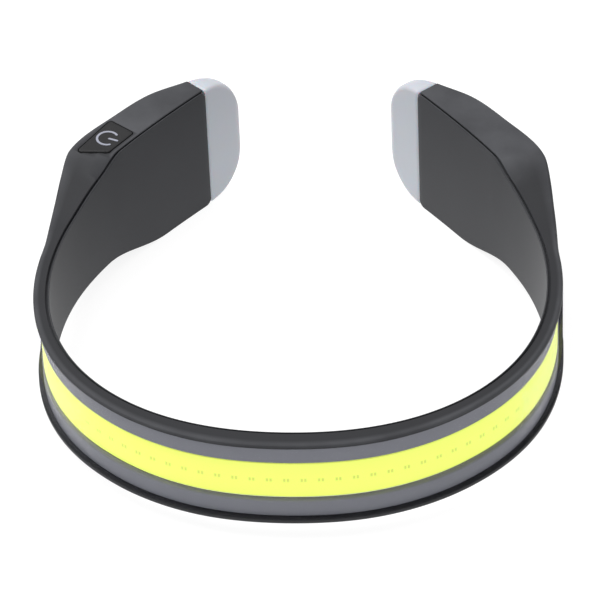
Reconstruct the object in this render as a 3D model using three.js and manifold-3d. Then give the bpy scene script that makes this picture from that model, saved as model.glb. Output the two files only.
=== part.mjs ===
// Wide-beam band headlamp: a springy C-shaped band that clips round the head, with a curved light strip
// under a long clear lens, a control pod and a battery pod at the rear, and a soft frosted tip on each end.
// Millimetres, +Z up. The lamp stands on the undersides of its pods, the light faces -Y, and the origin is
// under the middle of the overall box.
//
// Every piece of the band is drawn in the band's own coordinates: s runs along the inner line from the
// middle of the forehead towards a tip, t runs outwards from the inner face, and z is height.

import * as THREE from "three";
import { mergeVertices } from "three/addons/utils/BufferGeometryUtils.js";
import Module from "manifold-3d";

const wasm = await Module();
wasm.setup();

// ---- Driving dimensions -------------------------------------------------------------------------

const HEAD_WIDTH = 158.6; // clear width between the inner faces at the temples
const BENDS = [
  { at: 0, radius: 133 }, // bend radius of the inner line at a distance from its middle
  { at: 45, radius: 71 },
  { at: 88, radius: 62 },
  { at: 120, radius: 86 },
  { at: 150, radius: 82 },
  { at: 185, radius: 290 },
  { at: 235, radius: 5000 },
];
const LINE_DRAWN = 234; // middle to tip along the inner line, for the bends as drawn

const BAND_HEIGHT = 32;
const BAND_DEPTH = 6.6; // liner and frame together, at the forehead
const POD_ABOVE = 25.3; // top of a pod above the middle of the band
const POD_BELOW = 22.7; // underside of a pod below it
const ARM_LENGTH = 106; // flex line to tip
const NECK_LENGTH = 5.5; // end of the lens to the flex line
const TIP_LENGTH = 16;
const TOP_EDGE = [
  { at: 5, share: 0 }, // how much of its rise the top edge has made, at a distance back from the flex line
  { at: 15, share: 0.05 },
  { at: 23, share: 0.13 },
  { at: 30.6, share: 0.355 },
  { at: 38.6, share: 0.645 },
  { at: 43, share: 0.91 },
  { at: 45.1, share: 1 },
];
const BOTTOM_STEP = { from: 37.1, to: 61.1 }; // the bottom edge makes its step down between these
const EDGE = 1.1; // bevel on the outer edges

const LINER = 1.6; // soft inner layer
const RECESS = 0.8; // groove in its back for the spring and the leads
const FLOOR = 0.6; // least thickness of the frame behind the light strip
const SEAT = 3.0; // depth of the frame's channel
const LIP = 1.5; // frame above and below the channel
const LENS_WALL = 1.4;
const LENS_RISE = 0.8; // the lens stands this proud of the upper lip, flush with the lower one
const RISE_FADES = 60; // and sinks to a quarter of that towards its ends, over this length
const LENS_BEVEL = 1.6;
const STRIP_HEIGHT = 15.2;
const STRIP_SHORT = 5; // the light strip stops this far before the end of the lens
const BEZEL_SHORT = 2; // and the bezel this far
const BOARD = 0.3;
const PHOSPHOR = 0.6;
const SPRING = { thickness: 0.4, low: -6.5, high: 4.5, tail: 22 };
const LEADS = { thickness: 0.4, low: 5.5, high: 10.5, tail: 27 };
const RECESS_LOW = -7;
const RECESS_HIGH = 11;

const WALL = 1.8; // pod shell
const POD_START = 25; // the pod's hollow starts this far behind the flex line
const PLUG = { length: 7, wall: 1.6 }; // hollow plug that holds a tip in its pod

const BUTTON = { front: 44.9, middle: 52, back: 59.2, inner: 3, outerFront: 12.2, outerBack: 13.3, proud: 0.2 };
const BUTTON_FLANGE = { reach: 0.6, thickness: 0.8 }; // on three sides; the outer side is next to the wall
const BUTTON_STEM = 2.1; // radius
const BOARD_AT = 64; // middle of the main board behind the flex line
const BOARD_SIZE = { length: 32, height: 28, thickness: 1.2, offset: 5.6 };
const BOARD_TOP = 15;
const SWITCH = { side: 6, height: 3.4 };
const PLUNGER = { radius: 1.6, height: 1.2 };
const SCREW = { shank: 0.7, head: 1.5, headHeight: 0.9, length: 4.2 };
const BOSS = 1.9; // radius of a screw boss
const SCREW_SPOTS = [
  { along: -12.5, up: -9 },
  { along: 11, up: 7 },
];
const SOCKET = { width: 8.9, depth: 3.2, height: 7.3, wall: 0.3, tongue: 0.7, along: 9 };
const FLAP = { length: 13, width: 6.2, thickness: 0.9, plug: 1.4 };
const CELL_AT = 64; // middle of the cell behind the flex line
const CELL = { length: 32, height: 30, thickness: 5.4, offset: 6, middle: 2.5 };
const CELL_PAD = { length: 26, height: 24, thickness: 0.7 };
const CELL_BOARD = { length: 25, height: 3, thickness: 1 };

const GAP = 0.3; // between pieces that touch
const SLIP = 0.2; // between the thin layers of the band
const FLEX_GAP = 0.8; // open slot at each flex line
const STEP = 5; // length of a facet along the band

const STACK = 3 * SLIP + BOARD + PHOSPHOR + LENS_WALL; // strip and lens, in front of the channel's floor
const NECK_DEPTH = LINER + SLIP + FLOOR + STACK - LENS_RISE + 0.7; // depth of the band at the flex line
const FRONT_DEPTHS = [
  { at: 0, depth: NECK_DEPTH }, // depth of the band at a distance in front of the flex line
  { at: 43, depth: NECK_DEPTH },
  { at: 66, depth: NECK_DEPTH + 0.1 },
  { at: 83, depth: BAND_DEPTH - 0.8 },
  { at: 105, depth: BAND_DEPTH - 0.1 },
  { at: 128, depth: BAND_DEPTH },
];
const POD_DEPTHS = [
  { at: 0, depth: NECK_DEPTH }, // depth of the arm at a distance behind the flex line
  { at: 10, depth: NECK_DEPTH + 0.4 },
  { at: 24, depth: 9 },
  { at: 43, depth: 15.2 },
  { at: 62, depth: 14.7 },
  { at: 77, depth: 13.5 },
  { at: 90, depth: 9.1 },
  { at: 106, depth: 4.2 },
];

// ---- The band's coordinates ---------------------------------------------------------------------

/** Value of a table at x: a smooth curve through its rows, flat beyond its ends. */
function through(rows, x, key) {
  const last = rows.length - 1;
  if (x <= rows[0].at) return rows[0][key];
  if (x >= rows[last].at) return rows[last][key];
  const i = rows.findIndex((row) => row.at > x) - 1;
  const slope = (k) => {
    const a = rows[Math.max(k - 1, 0)];
    const b = rows[Math.min(k + 1, last)];
    return (b[key] - a[key]) / (b.at - a.at);
  };
  const width = rows[i + 1].at - rows[i].at;
  const u = (x - rows[i].at) / width;
  const rise = rows[i + 1][key] - rows[i][key];
  const ease = u * u * (3 - 2 * u);
  const a = slope(i) * width;
  const b = slope(i + 1) * width;
  return rows[i][key] + rise * ease + a * u * (1 - u) * (1 - u) - b * u * u * (1 - u);
}

/** The inner line as drawn: position and heading every half millimetre. */
function drawLine() {
  const step = 0.5;
  const points = [{ x: 0, y: 0, heading: 0 }];
  for (let i = 0; i < LINE_DRAWN / step; i += 1) {
    const s = (i + 0.5) * step;
    const k = BENDS.findIndex((bend) => bend.at > s);
    const u = (s - BENDS[k - 1].at) / (BENDS[k].at - BENDS[k - 1].at);
    const turn = step * ((1 - u) / BENDS[k - 1].radius + u / BENDS[k].radius);
    const before = points[i];
    const middle = before.heading + turn / 2;
    points.push({
      x: before.x + step * Math.cos(middle),
      y: before.y + step * Math.sin(middle),
      heading: before.heading + turn,
    });
  }
  return points;
}

const drawn = drawLine();
const SCALE = HEAD_WIDTH / 2 / Math.max(...drawn.map((point) => point.x));
const TIP_AT = LINE_DRAWN * SCALE;
const FLEX_AT = TIP_AT - ARM_LENGTH;
const LENS_END = FLEX_AT - NECK_LENGTH;
const STRIP_END = LENS_END - STRIP_SHORT;
const SEAM_AT = TIP_AT - TIP_LENGTH;
const BAND_HALF = BAND_HEIGHT / 2;

/** Where the inner line is at s, on the +X side. */
function lineAt(s) {
  const place = (Math.abs(s) / TIP_AT) * (drawn.length - 1);
  const i = Math.min(Math.max(Math.floor(place), 0), drawn.length - 2);
  const u = place - i;
  const a = drawn[i];
  const b = drawn[i + 1];
  return {
    x: (a.x + (b.x - a.x) * u) * SCALE,
    y: (a.y + (b.y - a.y) * u) * SCALE,
    heading: a.heading + (b.heading - a.heading) * u,
  };
}

/** The point at s along the band, t outwards and height z. A negative s is on the -X side. */
function at(s, t, z) {
  const line = lineAt(s);
  const x = line.x + t * Math.sin(line.heading);
  const y = line.y - t * Math.cos(line.heading);
  return new THREE.Vector3(s < 0 ? -x : x, y, z);
}

const FLEX_BACK = at(FLEX_AT, 0, 0).y;

/** Height of the top edge at a distance y back from the forehead. */
function topAt(y) {
  return BAND_HALF + (POD_ABOVE - BAND_HALF) * through(TOP_EDGE, y - FLEX_BACK, "share");
}

/** Height of the bottom edge at a distance y back from the forehead. */
function bottomAt(y) {
  const u = THREE.MathUtils.smoothstep(y - FLEX_BACK, BOTTOM_STEP.from, BOTTOM_STEP.to);
  return -BAND_HALF - (POD_BELOW - BAND_HALF) * u;
}

/** Depth of the band from its inner face to its outer face at s. */
function depthAt(s) {
  const behind = Math.abs(s) - FLEX_AT;
  return behind > 0 ? through(POD_DEPTHS, behind, "depth") : through(FRONT_DEPTHS, -behind, "depth");
}

/** Floor of the frame's channel, the front of the lens and its back, each as a distance outwards. */
const seatAt = (s) => Math.max(depthAt(s) - SEAT, LINER + SLIP + FLOOR);
const crownAt = (s) => {
  const fade = THREE.MathUtils.smoothstep(Math.abs(s), LENS_END - RISE_FADES, LENS_END);
  return depthAt(s) + LENS_RISE * (1 - 0.75 * fade);
};
const lensBackAt = (s) => crownAt(s) - LENS_WALL;

// ---- Solids -------------------------------------------------------------------------------------

/** Distances from one to another, a facet apart. */
function stations(from, to, step = STEP) {
  const count = Math.max(Math.round((to - from) / step), 1);
  return Array.from({ length: count + 1 }, (_, i) => from + ((to - from) * i) / count);
}

/** A closed solid from a grid of points: rings of equal length, with flat ends. */
function skin(rings, ends) {
  const size = rings[0].length;
  const index = [];
  for (let i = 0; i + 1 < rings.length; i += 1) {
    for (let j = 0; j < size; j += 1) {
      const a = i * size + j;
      const b = i * size + ((j + 1) % size);
      index.push(a, b, a + size, b, b + size, a + size);
    }
  }
  const last = (rings.length - 1) * size;
  for (const [a, b, c] of THREE.ShapeUtils.triangulateShape(ends[0], [])) index.push(c, b, a);
  for (const [a, b, c] of THREE.ShapeUtils.triangulateShape(ends[1], [])) {
    index.push(last + a, last + b, last + c);
  }
  const geometry = new THREE.BufferGeometry().setFromPoints(rings.flat());
  geometry.setIndex(index);
  return volumeOf(geometry) < 0 ? turned(geometry) : geometry;
}

/** The same solid with every face turned round. */
function turned(geometry) {
  const index = Array.from(geometry.index.array);
  for (let i = 0; i < index.length; i += 3) {
    [index[i + 1], index[i + 2]] = [index[i + 2], index[i + 1]];
  }
  geometry.setIndex(index);
  return geometry;
}

/** Signed volume of a closed indexed geometry. */
function volumeOf(geometry) {
  const position = geometry.attributes.position;
  const corners = [0, 1, 2].map(() => new THREE.Vector3());
  let sum = 0;
  for (let i = 0; i < geometry.index.count; i += 3) {
    corners.forEach((corner, k) => corner.fromBufferAttribute(position, geometry.index.getX(i + k)));
    sum += corners[0].dot(corners[1].clone().cross(corners[2])) / 6;
  }
  return sum;
}

/** A section carried along the band: section(s) lists [t, z] corners. */
function carried(places, section) {
  const sections = places.map((s) => section(s));
  const rings = sections.map((corners, i) => corners.map(([t, z]) => at(places[i], t, z)));
  const flat = (corners) => corners.map(([t, z]) => new THREE.Vector2(t, z));
  return skin(rings, [flat(sections[0]), flat(sections[sections.length - 1])]);
}

/** A plain rectangular strap between two offsets and two heights. */
function strap(places, inner, outer, low, high) {
  const value = (edge, s) => (typeof edge === "function" ? edge(s) : edge);
  return carried(places, (s) => [
    [value(inner, s), value(low, s)],
    [value(outer, s), value(low, s)],
    [value(outer, s), value(high, s)],
    [value(inner, s), value(high, s)],
  ]);
}

/** Geometry to a manifold solid, and back. */
function solid(geometry) {
  const plain = geometry.clone();
  plain.deleteAttribute("normal");
  plain.deleteAttribute("uv");
  const merged = mergeVertices(plain, 1e-4);
  return new wasm.Manifold(
    new wasm.Mesh({
      numProp: 3,
      vertProperties: new Float32Array(merged.attributes.position.array),
      triVerts: new Uint32Array(merged.index.array),
    }),
  );
}

function shape(manifold) {
  const mesh = manifold.getMesh();
  const geometry = new THREE.BufferGeometry();
  geometry.setAttribute("position", new THREE.BufferAttribute(new Float32Array(mesh.vertProperties), 3));
  geometry.setIndex(new THREE.BufferAttribute(new Uint32Array(mesh.triVerts), 1));
  return geometry;
}

/** The same solid with shared corners and an index, so that its faces can be turned. */
const indexed = (geometry) => shape(solid(geometry));
const cut = (body, ...tools) => shape(tools.reduce((left, tool) => left.subtract(solid(tool)), solid(body)));
const join = (body, ...others) => shape(others.reduce((sum, other) => sum.add(solid(other)), solid(body)));

/** The mirror image across the middle of the face, for the -X side. */
function mirrored(geometry) {
  return turned(geometry.clone().scale(-1, 1, 1));
}

/** A straight block in an arm's local frame: along the band, outwards, and up. */
function placed(geometry, along, offset) {
  const line = lineAt(FLEX_AT + along);
  const matrix = new THREE.Matrix4().makeBasis(
    new THREE.Vector3(Math.cos(line.heading), Math.sin(line.heading), 0),
    new THREE.Vector3(-Math.sin(line.heading), Math.cos(line.heading), 0),
    new THREE.Vector3(0, 0, 1),
  );
  matrix.setPosition(at(FLEX_AT + along, offset, 0));
  return geometry.applyMatrix4(matrix);
}

/** A block with its middle at (along, outwards, up) in the local frame, where outwards is -Y. */
function block(length, depth, height, x = 0, out = 0, z = 0) {
  return new THREE.BoxGeometry(length, depth, height).translate(x, -out, z);
}

/** A round rod pointing outwards in the local frame, from one distance out to another. */
function rod(radius, from, to, x, z) {
  const turn = new THREE.CylinderGeometry(radius, radius, to - from, 14);
  return turn.translate(x, -(from + to) / 2, z);
}

const FRONT = stations(-FLEX_AT + FLEX_GAP / 2, FLEX_AT - FLEX_GAP / 2);
const ARM = stations(FLEX_AT + FLEX_GAP / 2, SEAM_AT, 4);
const yAt = (s, t) => at(s, t, 0).y;

// ---- Front of the band --------------------------------------------------------------------------

/** Channel-shaped frame that holds the light strip and the lens. */
function makeFrame() {
  const half = BAND_HALF - LIP;
  const body = carried(FRONT, (s) => {
    const depth = depthAt(s);
    const sill = crownAt(s);
    return [
      [LINER + SLIP, -BAND_HALF],
      [sill - EDGE / 2, -BAND_HALF],
      [sill, -BAND_HALF + EDGE / 4],
      [sill, -half + 0.1],
      [depth, -half + 0.5],
      [depth, BAND_HALF - EDGE / 2],
      [depth - EDGE, BAND_HALF],
      [LINER + SLIP, BAND_HALF],
    ];
  });
  const places = stations(-LENS_END - GAP, LENS_END + GAP);
  return cut(body, strap(places, seatAt, (s) => depthAt(s) + 2, -half, half));
}

/** Soft layer against the head, grooved behind for the spring and the leads. */
function makeLiner() {
  const body = carried(FRONT, () => softSection(-BAND_HALF, BAND_HALF, -BAND_HALF, BAND_HALF));
  const places = stations(-FLEX_AT - 1, FLEX_AT + 1);
  return cut(body, strap(places, LINER - RECESS, LINER + 1, RECESS_LOW, RECESS_HIGH));
}

/** Section of the soft layer: its edges against the head are bevelled. */
function softSection(low, high, lowBack, highBack) {
  return [
    [0, low + 0.8],
    [0.8, low],
    [LINER, lowBack],
    [LINER, highBack],
    [0.8, high],
    [0, high - 0.8],
  ];
}

/** Clear lens with bevelled long edges. */
function makeLens() {
  const half = BAND_HALF - LIP - GAP;
  return carried(stations(-LENS_END, LENS_END), (s) => {
    const crown = crownAt(s);
    return [
      [lensBackAt(s), -half],
      [depthAt(s) - 0.2, -half],
      [crown, -half + LENS_BEVEL],
      [crown, half - LENS_BEVEL],
      [depthAt(s) - 0.2, half],
      [lensBackAt(s), half],
    ];
  });
}

/** Dark frame round the light strip, behind the lens. */
function makeBezel() {
  const half = BAND_HALF - LIP - GAP;
  const places = stations(-LENS_END + BEZEL_SHORT, LENS_END - BEZEL_SHORT);
  const window = stations(-STRIP_END - GAP, STRIP_END + GAP);
  const front = (s) => lensBackAt(s) - SLIP;
  const opening = STRIP_HEIGHT / 2 + GAP;
  return cut(
    strap(places, (s) => seatAt(s) + SLIP, front, -half, half),
    strap(window, LINER, (s) => front(s) + 2, -opening, opening),
  );
}

const STRIP = stations(-STRIP_END, STRIP_END);
const boardBack = (s) => seatAt(s) + SLIP;
const boardFront = (s) => boardBack(s) + BOARD;
const phosphorBack = (s) => boardFront(s) + SLIP;
const phosphorFront = (s) => phosphorBack(s) + PHOSPHOR;
const makeBoard = () => strap(STRIP, boardBack, boardFront, -STRIP_HEIGHT / 2, STRIP_HEIGHT / 2);
const makePhosphor = () => strap(STRIP, phosphorBack, phosphorFront, -STRIP_HEIGHT / 2, STRIP_HEIGHT / 2);

/** A thin strip in the groove between the soft layer and what is behind it. */
function inGroove(places, strip) {
  const inner = LINER - RECESS + SLIP;
  return strap(places, inner, inner + strip.thickness, strip.low, strip.high);
}

// ---- Arms: made for the +X side -----------------------------------------------------------------

/** Outer wall, top and bottom of a pod, with its neck. It is open towards the head and at the tip. */
function makeShell() {
  return cut(
    carried(ARM, (s) => {
      const depth = depthAt(s);
      const bevel = Math.min(EDGE, (depth - LINER) / 3);
      const inner = LINER + SLIP;
      return [
        [inner, bottomAt(yAt(s, inner))],
        [depth - bevel, bottomAt(yAt(s, depth - bevel))],
        [depth, bottomAt(yAt(s, depth)) + bevel],
        [depth, topAt(yAt(s, depth)) - bevel],
        [depth - bevel, topAt(yAt(s, depth - bevel))],
        [inner, topAt(yAt(s, inner))],
      ];
    }),
    strapInPod(stations(FLEX_AT + POD_START, SEAM_AT + 1, 4), LINER - 1, WALL, 0),
  );
}

/** A solid that fills a pod's hollow from an inner offset, its walls held in by a clearance. */
function strapInPod(places, inner, wall, clearance) {
  const inset = wall + clearance;
  const outer = (s) => depthAt(Math.min(s, SEAM_AT)) - inset;
  return carried(places, (s) => [
    [inner, bottomAt(yAt(s, inner)) + inset],
    [outer(s), bottomAt(yAt(s, outer(s))) + inset],
    [outer(s), topAt(yAt(s, outer(s))) - inset],
    [inner, topAt(yAt(s, inner)) - inset],
  ]);
}

/** Cover on the head side of a pod, in line with the soft layer of the band. */
function makeCover() {
  const body = carried(ARM, (s) => {
    const low = bottomAt(yAt(s, 0));
    const high = topAt(yAt(s, 0));
    return softSection(low, high, bottomAt(yAt(s, LINER)), topAt(yAt(s, LINER)));
  });
  const places = stations(FLEX_AT - 1, FLEX_AT + LEADS.tail + 1, 4);
  return cut(body, strap(places, LINER - RECESS, LINER + 1, RECESS_LOW, RECESS_HIGH));
}

/** Soft frosted tip: a rounded D that narrows to the end, on a hollow plug. */
function makeTip() {
  const first = SEAM_AT + GAP;
  const places = [0, 2.5, 5, 7.5, 10, 12, 13.5, 14.6, 15.3].map((x) => first + (x * (TIP_LENGTH - GAP)) / 15.7);
  const cap = carried(places, (s) => {
    const u = (s - SEAM_AT) / TIP_LENGTH;
    const full = (1 - u ** 2.5) ** 0.4;
    const middle = (POD_ABOVE - POD_BELOW) / 2;
    const high = middle + ((POD_ABOVE + POD_BELOW) / 2) * full;
    const low = middle - ((POD_ABOVE + POD_BELOW) / 2) * full;
    const round = 1.6 * THREE.MathUtils.smoothstep(u, 0.75, 1);
    const depth = depthAt(s) - round * 0.6;
    const bevel = EDGE + round / 3;
    const inner = round * 0.6;
    return [
      [inner, low + 0.8],
      [inner + 0.8, low],
      [depth - bevel, low],
      [depth, low + bevel],
      [depth, high - bevel],
      [depth - bevel, high],
      [inner + 0.8, high],
      [inner, high - 0.8],
    ];
  });
  const reach = stations(SEAM_AT - PLUG.length, SEAM_AT + 2, 3);
  const plug = strapInPod(reach, LINER + GAP, WALL, GAP);
  const bore = stations(SEAM_AT - PLUG.length - 1, SEAM_AT + 1, 3);
  return cut(join(cap, plug), strapInPod(bore, LINER + GAP + PLUG.wall, WALL + PLUG.wall, GAP));
}

// ---- Control pod --------------------------------------------------------------------------------

/** Corners of the button in plan, let out by a margin, and by another on its outer side. */
function buttonOutline(margin, outside) {
  const back = FLEX_AT + BUTTON.back + margin;
  const meets = (t) => {
    let s = back;
    while (yAt(s, t) > FLEX_BACK + BUTTON.front - margin) s -= 0.02;
    return s;
  };
  const inner = BUTTON.inner - margin;
  const front = BUTTON.outerFront + outside;
  const corners = [
    at(meets(inner), inner, 0),
    at(back, inner, 0),
    at(back, BUTTON.outerBack + outside, 0),
    at(meets(front), front, 0),
  ];
  return new THREE.Shape(corners.map((corner) => new THREE.Vector2(corner.x, corner.y)));
}

/** A slab with the button's outline between two heights. */
function buttonSlab(margin, low, high, outside = margin) {
  const outline = buttonOutline(margin, outside);
  const slab = new THREE.ExtrudeGeometry(outline, { depth: high - low, bevelEnabled: false });
  return slab.translate(0, 0, low);
}

const BUTTON_OUTER = (BUTTON.outerFront + BUTTON.outerBack) / 2;
const BUTTON_MIDDLE = at(FLEX_AT + BUTTON.middle, (BUTTON.inner + BUTTON_OUTER) / 2, 0);
const BUTTON_TOP = POD_ABOVE + BUTTON.proud;
const FLANGE_TOP = POD_ABOVE - WALL - 6 * GAP;
const FLANGE_LOW = FLANGE_TOP - BUTTON_FLANGE.thickness;
const SWITCH_TOP = BOARD_TOP + SWITCH.height;
const PLUNGER_TOP = SWITCH_TOP + GAP + PLUNGER.height;

/** A round post standing under the button between two heights. */
function postUnderButton(radius, low, high) {
  const post = new THREE.CylinderGeometry(radius, radius, high - low, 16).rotateX(Math.PI / 2);
  return post.translate(BUTTON_MIDDLE.x, BUTTON_MIDDLE.y, (low + high) / 2);
}

function makeButton() {
  return join(
    buttonSlab(0, FLANGE_LOW + 0.2, BUTTON_TOP),
    buttonSlab(BUTTON_FLANGE.reach, FLANGE_LOW, FLANGE_TOP, -WALL / 2),
    postUnderButton(BUTTON_STEM, PLUNGER_TOP + GAP, FLANGE_LOW + 0.2),
  );
}

/** A square block standing in line with the arm under the button. */
function blockUnderButton(length, depth, low, high) {
  const turn = lineAt(FLEX_AT + BUTTON.middle).heading;
  const body = new THREE.BoxGeometry(length, depth, high - low).rotateZ(turn);
  return body.translate(BUTTON_MIDDLE.x, BUTTON_MIDDLE.y, (low + high) / 2);
}

const makeSwitch = () => blockUnderButton(SWITCH.side, SWITCH.side, BOARD_TOP, SWITCH_TOP);
const makePlunger = () => postUnderButton(PLUNGER.radius, SWITCH_TOP + GAP, PLUNGER_TOP);

const SOCKET_LOW = -POD_BELOW + FLAP.thickness + GAP + 0.2;
const SOCKET_OFFSET = BOARD_SIZE.offset + (BOARD_SIZE.thickness + SOCKET.depth) / 2 + GAP;

/** Puts a solid of the socket or the flap in its place on the arm. */
const atSocket = (geometry) => placed(geometry.translate(SOCKET.along, 0, 0), BOARD_AT, SOCKET_OFFSET);

/** Circuit board with a screw hole at each boss, and a tab behind the socket. */
function makeMainBoard() {
  const { length, height, thickness, offset } = BOARD_SIZE;
  const top = BOARD_TOP - GAP;
  const foot = SOCKET_LOW + SOCKET.height - 3;
  const tab = block(SOCKET.width, thickness, top - foot, SOCKET.along, 0, (top + foot) / 2);
  const body = join(block(length, thickness, height, 0, 0, top - height / 2), tab);
  const holes = SCREW_SPOTS.map((spot) => rod(SCREW.shank + GAP, -2, 2, spot.along, spot.up));
  return placed(cut(body, ...holes), BOARD_AT, offset);
}

/** Screw that holds the board to a boss: a flat head and a plain shank. */
function makeScrew(spot) {
  const under = -BOARD_SIZE.thickness / 2 - GAP;
  const head = rod(SCREW.head, under - SCREW.headHeight, under, spot.along, spot.up);
  const shank = rod(SCREW.shank, under - 0.1, under + SCREW.length, spot.along, spot.up);
  return placed(join(head, shank), BOARD_AT, BOARD_SIZE.offset);
}

/** Charging socket on the outer face of the board, its mouth facing down. */
function makeSocket() {
  const { width, depth, height, wall, tongue } = SOCKET;
  const middle = SOCKET_LOW + height / 2;
  const body = block(width, depth, height, 0, 0, middle);
  const mouth = block(width - 2 * wall, depth - 2 * wall, height - 1, 0, 0, middle - 1);
  const blade = block(width - 3, tongue, height - 2.6, 0, 0, middle + 0.9);
  return atSocket(join(cut(body, mouth), blade));
}

/** Rubber flap over the socket: a plate in a shallow seat, with a plug that stops the mouth. */
function makeFlap() {
  const { length, width, thickness, plug } = FLAP;
  const low = -POD_BELOW + 0.1;
  const plate = block(length, width, thickness, 0, 0, low + thickness / 2);
  const stopper = block(SOCKET.width - 2, SOCKET.depth - 1.4, plug + 0.2, 0, 0, low + thickness + plug / 2);
  return atSocket(join(plate, stopper));
}

/** The control pod's shell: openings for the button and the socket, and two screw bosses. */
function makeControlShell() {
  const opening = buttonSlab(GAP, FLANGE_LOW - GAP, POD_ABOVE + 2);
  const low = -POD_BELOW;
  const seat = block(FLAP.length + 2 * GAP, FLAP.width + 2 * GAP, 2 * (FLAP.thickness + GAP), 0, 0, low);
  const mouth = block(SOCKET.width + 2 * GAP, SOCKET.depth + 2 * GAP, 3 * WALL, 0, 0, low);
  const bosses = SCREW_SPOTS.map((spot) => {
    const from = BOARD_SIZE.thickness / 2 + GAP;
    const along = FLEX_AT + BOARD_AT + spot.along;
    const to = depthAt(along) - BOARD_SIZE.offset - WALL + 0.6;
    const post = rod(BOSS, from, to, spot.along, spot.up);
    const hole = rod(SCREW.shank + SLIP, from - 1, from + SCREW.length - 0.8, spot.along, spot.up);
    return placed(cut(post, hole), BOARD_AT, BOARD_SIZE.offset);
  });
  const openings = [seat, mouth].map(atSocket);
  return cut(join(makeShell(), ...bosses), opening, ...openings);
}

// ---- Battery pod --------------------------------------------------------------------------------

/** Flat pouch cell with a folded top edge. */
function makeCell() {
  const { length, height, thickness, offset } = CELL;
  const body = block(length, thickness, height, 0, 0, CELL.middle);
  const fold = block(length - 4, 1, 2.4, 0, 0, CELL.middle + height / 2);
  return placed(join(body, fold), CELL_AT, offset);
}

/** Protection board above the cell. */
function makeCellBoard() {
  const { length, height, thickness } = CELL_BOARD;
  const low = CELL.middle + CELL.height / 2 + 1.2 + 2 * GAP;
  return placed(block(length, thickness, height, 0, 0, low + height / 2), CELL_AT, CELL.offset);
}

/** Foam pad between the cell and the cover. */
function makeCellPad() {
  const { length, height, thickness } = CELL_PAD;
  const out = -CELL.thickness / 2 - GAP - thickness / 2;
  return placed(block(length, thickness, height, 0, out, CELL.middle), CELL_AT, CELL.offset);
}

/** Round lead from the end of the flat leads to a board, along hand-set points. */
function makeLead(points) {
  const route = new THREE.CatmullRomCurve3(points.map((p) => at(FLEX_AT + p.along, p.out, p.up)));
  const section = new THREE.Shape(
    Array.from({ length: 8 }, (_, i) => (i * Math.PI) / 4).map(
      (angle) => new THREE.Vector2(0.55 * Math.cos(angle), 0.55 * Math.sin(angle)),
    ),
  );
  return new THREE.ExtrudeGeometry(section, { steps: 16, extrudePath: route, bevelEnabled: false });
}

const BOARD_LEAD = [
  { along: LEADS.tail + 0.6, out: 2.9, up: 8 },
  { along: LEADS.tail + 4, out: 3.4, up: 8 },
  { along: 38, out: 4.4, up: 5 },
  { along: 46.5, out: 5, up: 2 },
];
const CELL_LEAD = [
  { along: LEADS.tail + 0.6, out: 2.9, up: 8 },
  { along: LEADS.tail + 4, out: 3.6, up: 9.5 },
  { along: 39, out: 5, up: 15.5 },
  { along: 49.5, out: 6, up: 20.8 },
];

// ---- Colours and assembly -----------------------------------------------------------------------

const finish = (color, roughness, metalness = 0) => ({ color, roughness, metalness });
const SOFT = finish(0x47484c, 0.75);
const SHELL = finish(0x3f4045, 0.6);
const CLEAR = finish(0x8a8c93, 0.12);
const DARK_GLOSS = finish(0x5c5e63, 0.35);
const YELLOW = finish(0xe9f264, 0.5);
const FROSTED = finish(0xb4b8c2, 0.45);
const GREEN = finish(0x1f5b3a, 0.5);
const STEEL = finish(0xb9bcc0, 0.3, 1);
const COPPER = finish(0xa8693a, 0.4, 0.6);
const KEY = finish(0x35363a, 0.7);
const FOIL = finish(0x9ea1a6, 0.4, 0.5);
const FOAM = finish(0x2a2a2c, 0.95);

const lamp = new THREE.Group();

/** Adds a piece to the lamp under a name. */
function add(name, geometry, look) {
  const mesh = new THREE.Mesh(geometry, new THREE.MeshStandardMaterial(look));
  mesh.name = name;
  lamp.add(mesh);
}

add("front_frame", makeFrame(), SOFT);
add("front_liner", makeLiner(), SOFT);
add("light_lens", makeLens(), CLEAR);
add("strip_bezel", makeBezel(), DARK_GLOSS);
add("led_board", makeBoard(), COPPER);
add("phosphor_strip", makePhosphor(), YELLOW);
add("spring_strip", inGroove(FRONT, SPRING), STEEL);
add("flat_leads", inGroove(FRONT, LEADS), COPPER);

const SPRING_TAIL = stations(FLEX_AT + FLEX_GAP / 2, FLEX_AT + SPRING.tail, 4);
const LEADS_TAIL = stations(FLEX_AT + FLEX_GAP / 2, FLEX_AT + LEADS.tail, 4);
const sides = [
  { side: "left", shell: makeControlShell(), ready: mirrored },
  { side: "right", shell: makeShell(), ready: (geometry) => geometry },
];
for (const { side, shell, ready } of sides) {
  add(`${side}_pod_shell`, ready(shell), SHELL);
  add(`${side}_pod_cover`, ready(makeCover()), SOFT);
  add(`${side}_tip`, ready(makeTip()), FROSTED);
  add(`${side}_spring_tail`, ready(inGroove(SPRING_TAIL, SPRING)), STEEL);
  add(`${side}_leads_tail`, ready(inGroove(LEADS_TAIL, LEADS)), COPPER);
}

add("main_board", mirrored(makeMainBoard()), GREEN);
SCREW_SPOTS.forEach((spot, i) => add(`board_screw_${i + 1}`, mirrored(makeScrew(spot)), STEEL));
add("charge_socket", mirrored(makeSocket()), STEEL);
add("switch_body", mirrored(makeSwitch()), KEY);
add("switch_plunger", mirrored(makePlunger()), KEY);
add("power_button", mirrored(makeButton()), KEY);
add("charge_flap", mirrored(makeFlap()), SOFT);
add("board_lead", mirrored(indexed(makeLead(BOARD_LEAD))), COPPER);

add("battery_cell", makeCell(), FOIL);
add("cell_board", makeCellBoard(), GREEN);
add("cell_pad", makeCellPad(), FOAM);
add("cell_lead", makeLead(CELL_LEAD), COPPER);

// The lamp stands on its pods, with the middle of its overall box over the origin.
const box = new THREE.Box3().setFromObject(lamp);
lamp.position.set(-(box.min.x + box.max.x) / 2, -(box.min.y + box.max.y) / 2, -box.min.z);

export default lamp;
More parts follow.
